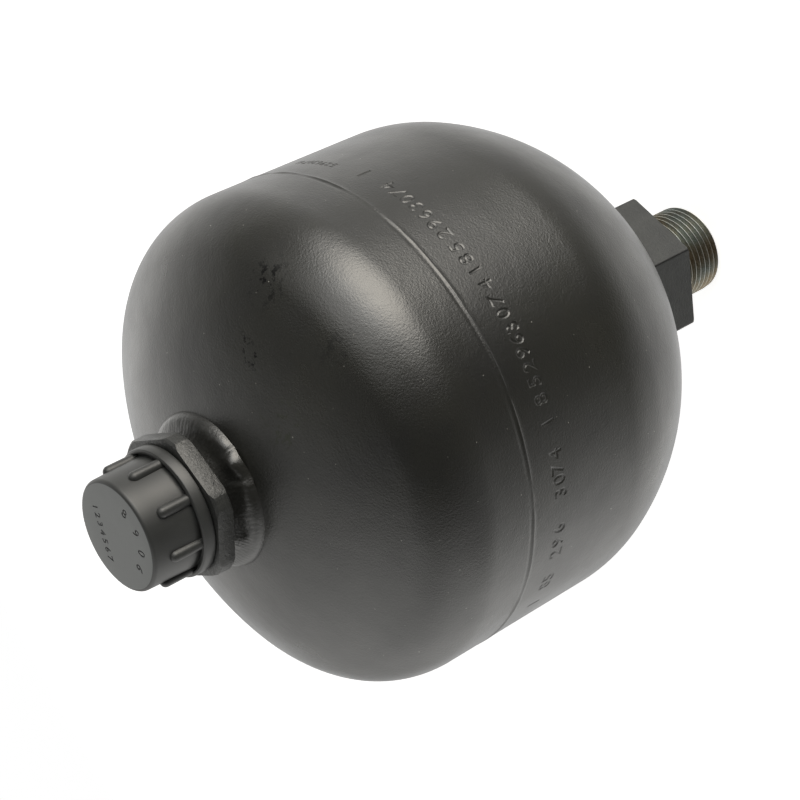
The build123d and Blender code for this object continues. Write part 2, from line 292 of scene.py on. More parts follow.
# a figure as a solid that is widest at mid height, so that it cuts a groove with sloping sides
def figure(digit, size, depth, flank, flatten, matrix):
    font = bpy.data.curves.new("figure", "FONT")
    font.body = digit
    font.size = size * mm
    font.align_x = "CENTER"
    font.align_y = "CENTER"
    font.extrude = depth * mm
    font.bevel_depth = flank * mm
    font.bevel_resolution = 0
    font.offset = -0.55 * flank * mm        # takes back about half of what the flank adds
    font.resolution_u = 3
    holder = bpy.data.objects.new("figure", font)
    scene.collection.objects.link(holder)
    bpy.context.view_layer.update()
    mesh = bpy.data.meshes.new_from_object(holder.evaluated_get(bpy.context.evaluated_depsgraph_get()))
    bpy.data.objects.remove(holder)
    mesh.transform(matrix @ Matrix.Diagonal((1, 1, flatten, 1)))
    return mesh


def figuresAsTool(meshes):
    bm = bmesh.new()
    for mesh in meshes:
        bm.from_mesh(mesh)
    bmesh.ops.remove_doubles(bm, verts=bm.verts[:], dist=1e-7)
    bmesh.ops.recalc_face_normals(bm, faces=bm.faces[:])
    mesh = bpy.data.meshes.new("figures")
    bm.to_mesh(mesh)
    bm.free()
    tool = bpy.data.objects.new("figures", mesh)
    scene.collection.objects.link(tool)
    return tool


# stands a figure on the cylinder: its width along the turn, its height along the axis
def onCylinder(angle, radius, z):
    a = math.radians(angle)
    along, out = Vector((-math.sin(a), math.cos(a), 0)), Vector((math.cos(a), math.sin(a), 0))
    spot = Matrix((along, (0, 0, 1), out)).transposed().to_4x4()
    spot.translation = (out * radius + Vector((0, 0, z))) * mm
    return spot


def stamped(angles, size, below):
    s = stampSizes
    flank = s["flank"] * size / s["figureSize"]
    meshes = []
    for k, angle in enumerate(angles):
        turn = angle + random.uniform(-s["turnSlip"], s["turnSlip"])
        height = seamZ - below + random.uniform(-s["heightSlip"], s["heightSlip"])
        tilt = math.radians(random.uniform(-s["tilt"], s["tilt"]))
        spot = onCylinder(turn, bodyR, height) @ Matrix.Rotation(tilt, 4, "Z")
        meshes.append(figure(str((3 * k + 1) % 10), size, s["depth"], flank, s["flatten"], spot))
    return meshes


stamps = stamped(stampSizes["angles"], stampSizes["figureSize"], stampSizes["belowSeam"])
small = stampSizes["small"]
stamps += stamped(small["angles"], small["figureSize"], small["belowSeam"])
carve(fluidHalf, figuresAsTool(stamps), overlapping=True)
place(gasHalf, "vessel", "gas_shell")
place(fluidHalf, "vessel", "fluid_shell")
print("figures stamped:", len(stamps))


# girth weld: a low uneven ridge on the fluid side of the seam and a shallow ditch on the gas side
girthSizes = dict(
    ridge=0.24, ridgeHalf=0.5, ridgeBelow=0.35, ditch=0.16, root=5.0, rootHalf=0.4, wander=0.16, ripple=0.02,
    steps=720,
)


def girthWeld():
    s = girthSizes
    ridge, high, half, deep = seamZ - s["ridgeBelow"], s["ridge"], s["ridgeHalf"], s["ditch"]
    bm = bmesh.new()
    outline(bm, [
        (bodyR, seamZ - seamLip), (bodyR + 0.02, ridge - half), (bodyR + 0.5 * high, ridge - 0.5 * half),
        (bodyR + high, ridge - 0.15), (bodyR + 0.9 * high, ridge + 0.1), (bodyR + 0.3 * high, ridge + 0.3),
        (bodyR - 0.4 * deep, ridge + 0.5), (bodyR - deep, ridge + 0.8), (bodyR - 0.8 * deep, ridge + 1.1),
        (bodyR - 0.25 * deep, ridge + 1.45), (bodyR, seamZ + seamLip),
        (bodyR - s["root"], seamZ + s["rootHalf"]), (bodyR - s["root"], seamZ - s["rootHalf"]),
    ])
    lathe(bm, s["steps"])
    for v in bm.verts:
        r = math.hypot(v.co.x, v.co.y)
        if r > bodyR - 0.3 and abs(v.co.z - seamZ) < seamLip - 0.05:
            a = math.atan2(v.co.y, v.co.x)
            swell = 0.5 + 0.75 * roundNoise(a, 5, 1.0) + 0.35 * roundNoise(a, 17, 5.0)
            ripple = s["ripple"] * roundNoise(a, 70, v.co.z)
            lifted = bodyR + (r - bodyR) * max(0.12, min(1.15, swell)) + ripple
            v.co.x *= lifted / r
            v.co.y *= lifted / r
            v.co.z += s["wander"] * roundNoise(a, 6, 7.0)
    return asObject("girth_bead", bm)


girthBead = place(girthWeld(), "vessel", "girth_weld", 60)


# fluid port: cut thread, bare relief groove and blackened hexagon
portSizes = dict(
    threadR=13.5, rootR=12.27, pitch=2.0, length=21.5, endBevel=1.5, relief=23.9 / 2,
    reliefLength=6.2,       # a guess, longer than in the solids
    bore=6.5, mouth=1.0, spigotR=15.0, flats=41.0, hexHeight=16.5, cornerR=23.2, hexEdge=0.38,
)


def fluidPort():
    s = portSizes
    shoulder, reliefLow = s["length"], s["length"] - s["reliefLength"]
    thread = asObject("thread", threadRod(s["rootR"], s["threadR"], s["pitch"], -1.0, reliefLow + 0.6))
    envelope = asObject("envelope", turnedSolid([
        (s["bore"] - 0.02, s["mouth"]), (s["bore"] + s["mouth"], 0), (s["threadR"] - s["endBevel"], 0),
        (s["threadR"] + 0.05, s["endBevel"]), (s["threadR"] + 0.05, reliefLow),
        (s["relief"] - 0.01, reliefLow + s["threadR"] - s["relief"]), (s["bore"] - 0.02, reliefLow + 1.0)]))
    carve(thread, envelope, "INTERSECT")
    stem = asObject("stem", turnedSolid([
        (s["bore"], s["mouth"] + 0.3), (s["relief"] - 0.05, s["mouth"] + 2.2), (s["relief"], shoulder - 0.5),
        (s["relief"] + 0.15, shoulder - 0.15), (s["relief"] + 0.5, shoulder), (s["spigotR"], shoulder),
        (s["spigotR"], portSeatZ - 0.3), (s["spigotR"] - 0.3, portSeatZ), (s["bore"] + 0.4, portSeatZ),
        (s["bore"], portSeatZ - 0.4)]))
    nut = asObject("nut", hexBar(s["flats"], shoulder, shoulder + s["hexHeight"], edge=s["hexEdge"]))
    rise = math.tan(math.radians(30)) * 6
    trim = asObject("trim", turnedSolid([
        (s["relief"] + 0.4, shoulder), (s["cornerR"], shoulder), (s["cornerR"] + 6, shoulder + rise),
        (s["cornerR"] + 6, shoulder + s["hexHeight"]), (s["relief"] + 0.4, shoulder + s["hexHeight"])], 192))
    carve(nut, trim, "INTERSECT")
    return merged("port_forging", [thread, stem, nut])


portForging = place(fluidPort(), "vessel", "fluid_port", 28)
print("port threaded")


# weld between the port hexagon and the fluid head
portWeldSizes = dict(toeR=25.5, innerR=15.05, ripples=74, ripple=0.07, wander=0.16, steps=296)


def portWeld():
    s = portWeldSizes
    hexBack = portSizes["length"] + portSizes["hexHeight"]
    rootR = portSizes["flats"] / 2 - 0.5
    bm = bmesh.new()
    first = last = startLine(bm, s["innerR"], crownHeight("fluid", s["innerR"]) + 0.4)
    last = lineTo(bm, last, s["innerR"], hexBack)
    last = lineTo(bm, last, rootR, hexBack)
    toe = (s["toeR"], crownHeight("fluid", s["toeR"]))
    for share, bulge in ((0.18, 0.55), (0.38, 1.0), (0.6, 1.05), (0.8, 0.65), (0.93, 0.2), (1.0, 0.0)):
        r = rootR + (toe[0] - rootR) * share + 0.75 * bulge
        z = hexBack + (toe[1] - hexBack) * share - 0.62 * bulge
        last = lineTo(bm, last, min(r, toe[0]), z)
    last = lineTo(bm, last, toe[0] - 1.2, crownHeight("fluid", toe[0] - 1.2) + 0.4)
    joinTo(bm, last, first)
    lathe(bm, s["steps"])
    for v in bm.verts:
        r = math.hypot(v.co.x, v.co.y)
        if rootR + 0.2 < r < s["toeR"] - 0.15:
            a = math.atan2(v.co.y, v.co.x)
            push = s["ripple"] * math.sin(s["ripples"] * a + 2.2 * (r - rootR))
            push += s["wander"] * roundNoise(a, 6, r * 0.3)
            v.co.x *= (r + push) / r
            v.co.y *= (r + push) / r
            v.co.z -= 0.6 * push
    return asObject("port_bead", bm)


portBead = place(portWeld(), "vessel", "port_weld", 60)


# gas boss: spigot, neck, thin hexagon with turned corners, and a threaded nose with its recess and tapped hole
bossSizes = dict(
    flats=38.0, thick=5.0, turnedR=20.9, turn=-10.9, edge=0.3, threadR=14.0, rootR=13.08, pitch=1.5, nose=13.0,
    neckR=15.0, spigotR=14.0, bore=2.5, seatR=10.2, recess=5.0, tapR=7.06, tapDepth=20.5,
)
bossFaceZ = noseTopZ - bossSizes["nose"]


def gasBoss():
    s = bossSizes
    foot, floor = lowOf("gas_boss").z, noseTopZ - s["recess"]
    neckLow = crownHeight("gas", s["neckR"]) + 0.6
    rod = threadRod(s["rootR"], s["threadR"], s["pitch"], bossFaceZ - 0.8, noseTopZ + 1.0)
    thread = asObject("thread", rod)
    envelope = asObject("envelope", turnedSolid([
        (s["seatR"] + 0.4, noseTopZ), (s["threadR"] - 1.0, noseTopZ), (s["threadR"] + 0.05, noseTopZ - 1.05),
        (s["threadR"] + 0.05, bossFaceZ + 1.3), (s["rootR"] - 0.02, bossFaceZ + 0.3),
        (s["rootR"] - 0.6, bossFaceZ - 0.4), (s["seatR"], bossFaceZ - 0.4), (s["seatR"], noseTopZ - 0.4)]))
    carve(thread, envelope, "INTERSECT")
    core = asObject("core", turnedSolid([
        (s["bore"], foot), (s["spigotR"], foot), (s["spigotR"], neckLow), (s["neckR"], neckLow),
        (s["neckR"], bossFaceZ - 0.5), (s["rootR"], bossFaceZ), (s["rootR"] - 0.02, floor + 0.6),
        (s["seatR"], floor + 0.5), (s["seatR"], floor), (s["tapR"], floor),
        (s["tapR"], noseTopZ - s["tapDepth"]), (s["bore"], noseTopZ - s["tapDepth"] - 2.7)]))
    nut = asObject("nut", hexBar(s["flats"], bossFaceZ - s["thick"], bossFaceZ, s["turn"]))
    trim = asObject("trim", turnedSolid([
        (s["neckR"] - 0.5, bossFaceZ - s["thick"]), (s["turnedR"] - 0.5, bossFaceZ - s["thick"]),
        (s["turnedR"], bossFaceZ - s["thick"] + 0.5), (s["turnedR"], bossFaceZ - 0.7),
        (s["turnedR"] - 0.7, bossFaceZ), (s["neckR"] - 0.5, bossFaceZ)], 192))
    carve(nut, trim, "INTERSECT")
    rounded(nut, s["edge"], 25, 3)
    return merged("gas_forging", [thread, core, nut])


gasForging = place(gasBoss(), "vessel", "gas_boss", 28)
print("gas boss threaded")


# weld round the gas boss, with a lump and a crater where its bead closes
bossWeldSizes = dict(
    toeR=21.95, innerR=15.05, gap=0.9, bulge=1.0, steps=480, ripples=96, ripple=0.02, wander=0.14, grain=0.07,
    # share of the way from neck to toe, fullness: hollow beside the neck and full towards the toe
    fillet=[(0.08, -0.1), (0.16, -0.16), (0.24, -0.18), (0.32, -0.1), (0.4, 0.05), (0.47, 0.25), (0.54, 0.48),
            (0.61, 0.7), (0.68, 0.9), (0.75, 1.0), (0.82, 0.95), (0.89, 0.72), (0.95, 0.4), (1.0, 0.0)],
    # angle, half width in degrees, share of the way from neck to toe, half width of that, height
    lumps=[(-79.5, 7.0, 0.82, 0.26, 1.25), (-64.0, 8.0, 0.92, 0.13, 0.4), (-70.5, 1.9, 0.9, 0.2, -0.28),
           (-91.5, 3.2, 0.66, 0.22, -0.5), (-99.0, 3.0, 0.95, 0.12, 0.3), (34.0, 6.0, 0.8, 0.25, 0.35),
           (52.0, 5.0, 0.7, 0.25, -0.25)],
)


def bossWeld():
    s = bossWeldSizes
    top = (s["innerR"], bossFaceZ - bossSizes["thick"] - s["gap"])
    toe = (s["toeR"], crownHeight("gas", s["toeR"]))
    bm = bmesh.new()
    first = last = startLine(bm, s["innerR"], crownHeight("gas", s["innerR"]) - 0.4)
    last = lineTo(bm, last, *top)
    for share, fullness in s["fillet"]:
        out = s["bulge"] * fullness
        r = top[0] + (toe[0] - top[0]) * share + 0.55 * out
        z = top[1] + (toe[1] - top[1]) * share + 0.8 * out
        last = lineTo(bm, last, r, z)
    last = lineTo(bm, last, toe[0] - 1.0, crownHeight("gas", toe[0] - 1.0) - 0.5)
    joinTo(bm, last, first)
    lathe(bm, s["steps"])
    for v in bm.verts:
        r = math.hypot(v.co.x, v.co.y)
        head = crownHeight("gas", min(r, s["toeR"]))
        if not s["innerR"] + 0.3 < r < s["toeR"] + 0.4 or v.co.z < head - 0.2:
            continue
        a = math.atan2(v.co.y, v.co.x)
        across = (r - s["innerR"]) / (s["toeR"] - s["innerR"])
        onBead = max(0.0, math.sin(math.pi * min(1, across)))
        wave = roundNoise(a, 4, 0.25 * r) + 0.5 * roundNoise(a, 11, 0.5 * r)
        fold = math.sin(s["ripples"] * a - 2.5 * across + 2.0 * wave)
        grain = noise.noise([0.9 * c for c in v.co])
        push = onBead * (s["ripple"] * fold + s["wander"] * wave + s["grain"] * grain)
        for angle, halfWide, middle, halfAcross, height in s["lumps"]:
            away = (math.degrees(a) - angle + 180) % 360 - 180
            push += height * math.exp(-(away / halfWide) ** 2) * math.exp(-((across - middle) / halfAcross) ** 2)
        v.co.x *= (r + 0.55 * push) / r
        v.co.y *= (r + 0.55 * push) / r
        v.co.z += 0.83 * push
    return asObject("boss_bead", bm)


bossBead = place(bossWeld(), "vessel", "boss_weld", 60)


# protective cap: a knob with eight grip ribs on a flange, threaded inside, with figures sunk into its end
capSizes = dict(
    hollowR=14.06, wall=1.6, draft=0.3, reach=2.45, flange=3.5, endWall=2.2, round=1.1, bevel=0.6,
    ribs=8, ribR=1.6, ribReach=1.65, setback=4.8, turn=2.7, grooveWidth=0.9, grooveDepth=1.0,
    threadDepth=0.75, pitch=1.5, figureDepth=0.1, figureFlank=0.09,
    row=dict(digits="1234567", start=(9.3, 3.7), end=(-4.3, 8.9), figureSize=3.3),
    arc=dict(digits="8906", angles=(-64, -96, -128, -160), radius=10.2, figureSize=4.0),
)


def capRib(angle):
    s = capSizes
    bm = bmesh.new()
    low, high = capLowZ + s["flange"] - s["grooveDepth"], capTopZ - s["setback"] - s["ribR"]
    last = startLine(bm, 0, low)
    last = lineTo(bm, last, s["ribR"], low)
    last = lineTo(bm, last, s["ribR"], high, parts=3)
    arcTo(bm, last, 0, high, -90, 8)
    lathe(bm, 28)
    centre = s["hollowR"] + s["wall"] + s["ribReach"] - s["ribR"]
    bmesh.ops.translate(bm, verts=bm.verts[:], vec=(centre, 0, 0))
    turnRound(bm, angle)
    return asObject("rib", bm)


# digit, size, place and heading of every figure on the end: a straight row and an arc
def capFigures():
    row, arc = capSizes["row"], capSizes["arc"]
    start, end = Vector((*row["start"], capTopZ)), Vector((*row["end"], capTopZ))
    heading = math.atan2(end.y - start.y, end.x - start.x)
    spots = []
    for k, digit in enumerate(row["digits"]):
        spots.append((digit, row["figureSize"], start.lerp(end, k / (len(row["digits"]) - 1)), heading))
    for digit, angle in zip(arc["digits"], map(math.radians, arc["angles"])):
        at = Vector((arc["radius"] * math.cos(angle), arc["radius"] * math.sin(angle), capTopZ))
        spots.append((digit, arc["figureSize"], at, angle - math.pi / 2))
    return spots


def protectiveCap():
    s = capSizes
    knobR = s["hollowR"] + s["wall"]
    footR, flangeR = knobR + s["draft"], knobR + s["reach"]
    flangeTop, ceiling = capLowZ + s["flange"], capTopZ - s["endWall"]
    grooveR, grooveZ = footR + s["grooveWidth"], flangeTop - s["grooveDepth"]
    bm = bmesh.new()
    last = startLine(bm, 0, capTopZ)
    last = lineTo(bm, last, knobR - s["round"], capTopZ, parts=3)
    last = arcTo(bm, last, knobR - s["round"], capTopZ - s["round"], 90, 8)
    last = lineTo(bm, last, footR, grooveZ + 0.3, parts=4)
    for r, z in ((footR + 0.25, grooveZ), (grooveR, grooveZ), (grooveR, flangeTop - 0.15),
                 (grooveR + 0.15, flangeTop), (flangeR - s["bevel"], flangeTop),
                 (flangeR - 0.15, flangeTop - 0.28), (flangeR, flangeTop - s["bevel"]),
                 (flangeR, capLowZ + 0.2), (flangeR - 0.2, capLowZ), (s["hollowR"] + 0.8, capLowZ),
                 (s["hollowR"], capLowZ + 0.8), (s["hollowR"], ceiling - 0.8),
                 (s["hollowR"] - 0.8, ceiling), (0, ceiling)):
        last = lineTo(bm, last, r, z)
    lathe(bm, 160)
    knob = asObject("knob", bm)
    cutter = asObject("cutter", threadRod(s["hollowR"] - 0.3, s["hollowR"] + s["threadDepth"], s["pitch"],
                                          capLowZ + 1.0, ceiling - 1.6, 48))
    carve(knob, cutter)
    figures = [figure(digit, size, s["figureDepth"], s["figureFlank"], 1.0,
                      Matrix.Translation(at * mm) @ Matrix.Rotation(heading, 4, "Z"))
               for digit, size, at, heading in capFigures()]
    carve(knob, figuresAsTool(figures), overlapping=True)
    ribs = [capRib(s["turn"] + k * 360 / s["ribs"]) for k in range(s["ribs"])]
    return merged("screw_cap", [knob] + ribs)


screwCap = place(protectiveCap(), "protective_cap", "protective_cap", 30)
print("cap moulded")


# sRGB hex to the renderer's linear colour
def linear(hexColour):
    parts = [int(hexColour[k:k + 2], 16) / 255 for k in (1, 3, 5)]
    return tuple(c / 12.92 if c <= 0.04045 else ((c + 0.055) / 1.055) ** 2.4 for c in parts) + (1.0,)


# scale of a pattern on Object coordinates whose grain is this many millimetres
def perMm(size):
    return 1000 / size


def addNode(tree, kind, values=None, **settings):
    node = tree.nodes.new(kind)
    for name, value in settings.items():
        setattr(node, name, value)
    for socket, value in (values or {}).items():
        if isinstance(value, bpy.types.NodeSocket):
            tree.links.new(value, node.inputs[socket])
        else:
            node.inputs[socket].default_value = value
    return node


def newMaterial(name):
    material = bpy.data.materials.new(name)
    material.use_nodes = True
    tree = material.node_tree
    tree.nodes.clear()
    return material, tree


def coat(piece, material):
    piece.data.materials.clear()
    piece.data.materials.append(material)


# Object coordinates unrolled round Z: the turn at the body radius, scaled by along; height and radius by across
def aroundAxis(tree, along, across):
    coords = addNode(tree, "ShaderNodeTexCoord").outputs["Object"]
    split = addNode(tree, "ShaderNodeSeparateXYZ", {0: coords})
    turn = addNode(tree, "ShaderNodeMath", {0: split.outputs["Y"], 1: split.outputs["X"]}, operation="ARCTAN2")
    flat = addNode(tree, "ShaderNodeVectorMath", {0: coords, 1: (1, 1, 0)}, operation="MULTIPLY")
    radius = addNode(tree, "ShaderNodeVectorMath", {0: flat.outputs[0]}, operation="LENGTH")
    unrolled = addNode(tree, "ShaderNodeCombineXYZ", {0: turn.outputs[0], 1: split.outputs["Z"],
                                                      2: radius.outputs["Value"]})
    stretch = (bodyR * mm * along, across, across)
    return addNode(tree, "ShaderNodeVectorMath", {0: unrolled.outputs[0], 1: stretch},
                   operation="MULTIPLY").outputs[0]


paintSizes = dict(
    dark="#1d1d1b", light="#2b2b27", mottle=26.0, roughness=(0.36, 0.27), sheen=0.9,
    sheetWave=9.0, sheetDepth=0.12, spray=0.35,
    dust="#9c9b94", dustSpacing=3.4, dustSize=0.22, dustShare=0.45,
    smear=2.6, rubbedRoughness=0.12, rubbedSheen=-0.62,
    # rub marks on the gas head: place, measured one by one, size and colour
    marks=[((41.1, -43.8, 171.1), 8.5, "#060606"), ((29.6, -34.2, 179.3), 4.2, "#040404"),
           ((25.1, -36.1, 179.9), 4.4, "#040404"), ((9.9, -36.9, 182.3), 3.2, "#040404"),
           ((6.9, -38.2, 182.2), 9.0, "#3a3c35"), ((17.1, -54.9, 166.5), 8.0, "#0a0a0a")],
)


# satin lacquer sprayed on drawn steel: nearly black, its soft sheen broken up by waves, orange peel and spray
# grain, and duller where the paint was rubbed; spray grain and dust are drawn coarser than real, or none shows
def satinPaint(name, peelSize, peelDepth, sprayDepth, dust):
    s = paintSizes
    material, tree = newMaterial(name)
    coords = addNode(tree, "ShaderNodeTexCoord").outputs["Object"]
    cloud = addNode(tree, "ShaderNodeTexNoise", {
        "Vector": coords, "Scale": perMm(s["mottle"]), "Detail": 6.0, "Roughness": 0.62}).outputs["Fac"]
    share = addNode(tree, "ShaderNodeMapRange", {"Value": cloud, "From Min": 0.35, "From Max": 0.68}).outputs[0]
    colour = addNode(tree, "ShaderNodeMix", {0: share, 6: linear(s["dark"]), 7: linear(s["light"])},
                     data_type="RGBA").outputs[2]

    smear = addNode(tree, "ShaderNodeTexNoise", {
        "Vector": coords, "Scale": perMm(s["smear"]), "Detail": 4.0, "Roughness": 0.7}).outputs["Fac"]
    streaks = addNode(tree, "ShaderNodeMapRange", {
        "Value": smear, "From Min": 0.53, "From Max": 0.6}).outputs[0]
    rubbed = 0.0
    for spot, size, tone in s["marks"]:
        middle = tuple(c * mm for c in spot)
        away = addNode(tree, "ShaderNodeVectorMath", {0: coords, 1: middle}, operation="DISTANCE")
        near = addNode(tree, "ShaderNodeMapRange", {
            "Value": away.outputs["Value"], "From Min": 0.3 * size * mm, "From Max": size * mm,
            "To Min": 1.0, "To Max": 0.0}).outputs[0]
        mark = addNode(tree, "ShaderNodeMath", {0: near, 1: streaks}, operation="MULTIPLY").outputs[0]
        colour = addNode(tree, "ShaderNodeMix", {0: mark, 6: colour, 7: linear(tone)},
                         data_type="RGBA").outputs[2]
        rubbed = addNode(tree, "ShaderNodeMath", {0: rubbed, 1: mark}, operation="MAXIMUM").outputs[0]

    # settled dust: a dot in the middle of some cells of a Voronoi pattern
    cells = addNode(tree, "ShaderNodeTexVoronoi", {"Vector": coords, "Scale": perMm(s["dustSpacing"])})
    lot = addNode(tree, "ShaderNodeSeparateColor", {0: cells.outputs["Color"]}).outputs[0]
    edge = s["dustSize"] / s["dustSpacing"]
    dot = addNode(tree, "ShaderNodeMapRange", {
        "Value": cells.outputs["Distance"], "From Min": 0.5 * edge, "From Max": edge,
        "To Min": 1.0, "To Max": 0.0}).outputs[0]
    drawn = addNode(tree, "ShaderNodeMapRange", {"Value": lot, "From Min": s["dustShare"], "To Max": dust})
    speck = addNode(tree, "ShaderNodeMath", {0: dot, 1: drawn.outputs[0]}, operation="MULTIPLY").outputs[0]
    colour = addNode(tree, "ShaderNodeMix", {0: speck, 6: colour, 7: linear(s["dust"])},
                     data_type="RGBA").outputs[2]

    # slow waves of the drawn sheet, orange peel and spray grain, each laid over the one before
    below = {}
    for size, detail, roughness, depth in ((s["sheetWave"], 2.0, 0.5, s["sheetDepth"]),
                                           (peelSize, 2.0, 0.55, peelDepth), (s["spray"], 1.0, 0.5, sprayDepth)):
        relief = addNode(tree, "ShaderNodeTexNoise", {
            "Vector": coords, "Scale": perMm(size), "Detail": detail, "Roughness": roughness}).outputs["Fac"]
        bump = addNode(tree, "ShaderNodeBump", {
            "Strength": 1.0, "Distance": depth * mm, "Height": relief, **below})
        below = {"Normal": bump.outputs[0]}

    rough = addNode(tree, "ShaderNodeMapRange", {
        "Value": cloud, "From Min": 0.32, "From Max": 0.68,
        "To Min": s["roughness"][0], "To Max": s["roughness"][1]}).outputs[0]
    rough = addNode(tree, "ShaderNodeMath", {0: rubbed, 1: s["rubbedRoughness"], 2: rough},
                    operation="MULTIPLY_ADD").outputs[0]
    sheen = addNode(tree, "ShaderNodeMath", {0: rubbed, 1: s["rubbedSheen"], 2: s["sheen"]},
                    operation="MULTIPLY_ADD").outputs[0]
    skin = addNode(tree, "ShaderNodeBsdfPrincipled", {
        "Base Color": colour, "Roughness": rough, "Specular IOR Level": sheen, **below})
    addNode(tree, "ShaderNodeOutputMaterial", {0: skin.outputs[0]})
    return material


# blackened steel hexagon, milled or forged: dull dark grey, clouded, with a grain drawn coarser than real
def blackenedSteel(name, dark, light, grainSize, grainDepth, roughness):
    material, tree = newMaterial(name)
    coords = addNode(tree, "ShaderNodeTexCoord").outputs["Object"]
    cloud = addNode(tree, "ShaderNodeTexNoise", {
        "Vector": coords, "Scale": perMm(6.0), "Detail": 6.0, "Roughness": 0.65}).outputs["Fac"]
    grain = addNode(tree, "ShaderNodeTexNoise", {
        "Vector": coords, "Scale": perMm(grainSize), "Detail": 3.0, "Roughness": 0.7}).outputs["Fac"]
    share = addNode(tree, "ShaderNodeMapRange", {"Value": cloud, "From Min": 0.35, "From Max": 0.68}).outputs[0]
    colour = addNode(tree, "ShaderNodeMix", {0: share, 6: linear(dark), 7: linear(light)}, data_type="RGBA")
    bump = addNode(tree, "ShaderNodeBump", {"Strength": 1.0, "Distance": grainDepth * mm, "Height": grain})
    rough = addNode(tree, "ShaderNodeMapRange", {
        "Value": grain, "From Min": 0.3, "From Max": 0.7, "To Min": roughness - 0.06, "To Max": roughness + 0.06})
    skin = addNode(tree, "ShaderNodeBsdfPrincipled", {
        "Base Color": colour.outputs[2], "Roughness": rough.outputs[0], "Normal": bump.outputs[0],
        "Specular IOR Level": 0.7})
    addNode(tree, "ShaderNodeOutputMaterial", {0: skin.outputs[0]})
    return material


# cut or turned steel under a film of oil: bare metal with tool lines round the axis and straw and blue tints
def oiledSteel(name, dark, light, warm, cold):
    material, tree = newMaterial(name)
    coords = addNode(tree, "ShaderNodeTexCoord").outputs["Object"]
    cloud = addNode(tree, "ShaderNodeTexNoise", {
        "Vector": coords, "Scale": perMm(11.0), "Detail": 3.0, "Roughness": 0.55}).outputs["Fac"]
    lines = addNode(tree, "ShaderNodeTexNoise", {
        "Vector": aroundAxis(tree, 0.25, 3.0), "Scale": perMm(0.8), "Detail": 3.0,
        "Roughness": 0.6}).outputs["Fac"]
    share = addNode(tree, "ShaderNodeMapRange", {"Value": lines, "From Min": 0.35, "From Max": 0.7}).outputs[0]
    metal = addNode(tree, "ShaderNodeMix", {0: share, 6: linear(dark), 7: linear(light)}, data_type="RGBA")
    film = addNode(tree, "ShaderNodeMapRange", {"Value": cloud, "From Min": 0.4, "From Max": 0.62}).outputs[0]
    tint = addNode(tree, "ShaderNodeMix", {0: film, 6: linear(warm), 7: linear(cold)}, data_type="RGBA")
    colour = addNode(tree, "ShaderNodeMix", {0: 0.6, 6: metal.outputs[2], 7: tint.outputs[2]},
                     data_type="RGBA", blend_type="MULTIPLY")
    bump = addNode(tree, "ShaderNodeBump", {"Strength": 1.0, "Distance": 0.012 * mm, "Height": lines})
    rough = addNode(tree, "ShaderNodeMapRange", {
        "Value": lines, "From Min": 0.3, "From Max": 0.7, "To Min": 0.36, "To Max": 0.5})
    skin = addNode(tree, "ShaderNodeBsdfPrincipled", {
        "Base Color": colour.outputs[2], "Metallic": 1.0, "Roughness": rough.outputs[0],
        "Normal": bump.outputs[0]})
    addNode(tree, "ShaderNodeOutputMaterial", {0: skin.outputs[0]})
    return material


# injection moulded polyethylene: waxy satin grey-black with slight flow marks and the mould's eroded grain,
# which is drawn coarser than real
def mouldedPlastic(name, dark, light):
    material, tree = newMaterial(name)
    coords = addNode(tree, "ShaderNodeTexCoord").outputs["Object"]
    cloud = addNode(tree, "ShaderNodeTexNoise", {
        "Vector": coords, "Scale": perMm(9.0), "Detail": 5.0, "Roughness": 0.55}).outputs["Fac"]
    share = addNode(tree, "ShaderNodeMapRange", {"Value": cloud, "From Min": 0.35, "From Max": 0.68}).outputs[0]
    colour = addNode(tree, "ShaderNodeMix", {0: share, 6: linear(dark), 7: linear(light)}, data_type="RGBA")
    grain = addNode(tree, "ShaderNodeTexNoise", {
        "Vector": coords, "Scale": perMm(0.45), "Detail": 2.0, "Roughness": 0.6}).outputs["Fac"]
    bump = addNode(tree, "ShaderNodeBump", {"Strength": 1.0, "Distance": 0.015 * mm, "Height": grain})
    rough = addNode(tree, "ShaderNodeMapRange", {
        "Value": cloud, "From Min": 0.3, "From Max": 0.7, "To Min": 0.4, "To Max": 0.47})
    skin = addNode(tree, "ShaderNodeBsdfPrincipled", {
        "Base Color": colour.outputs[2], "Roughness": rough.outputs[0], "Normal": bump.outputs[0],
        "Specular IOR Level": 0.65})
    addNode(tree, "ShaderNodeOutputMaterial", {0: skin.outputs[0]})
    return material


# turned steel, bright and dry: fine tool lines round the axis stretch its reflections
def turnedSteel():
    material, tree = newMaterial("turned_steel")
    lines = addNode(tree, "ShaderNodeTexNoise", {
        "Vector": aroundAxis(tree, 0.05, 4.0), "Scale": perMm(0.9), "Detail": 3.0}).outputs["Fac"]
    share = addNode(tree, "ShaderNodeMapRange", {"Value": lines, "From Min": 0.3, "From Max": 0.7}).outputs[0]
    colour = addNode(tree, "ShaderNodeMix", {0: share, 6: linear("#8f8e8a"), 7: linear("#aaa9a4")},
                     data_type="RGBA")
    bump = addNode(tree, "ShaderNodeBump", {"Strength": 1.0, "Distance": 0.01 * mm, "Height": lines})
    rough = addNode(tree, "ShaderNodeMapRange", {
        "Value": lines, "From Min": 0.3, "From Max": 0.7, "To Min": 0.26, "To Max": 0.38})
    skin = addNode(tree, "ShaderNodeBsdfPrincipled", {
        "Base Color": colour.outputs[2], "Metallic": 1.0, "Roughness": rough.outputs[0],
        "Normal": bump.outputs[0]})
    addNode(tree, "ShaderNodeOutputMaterial", {0: skin.outputs[0]})
    return material


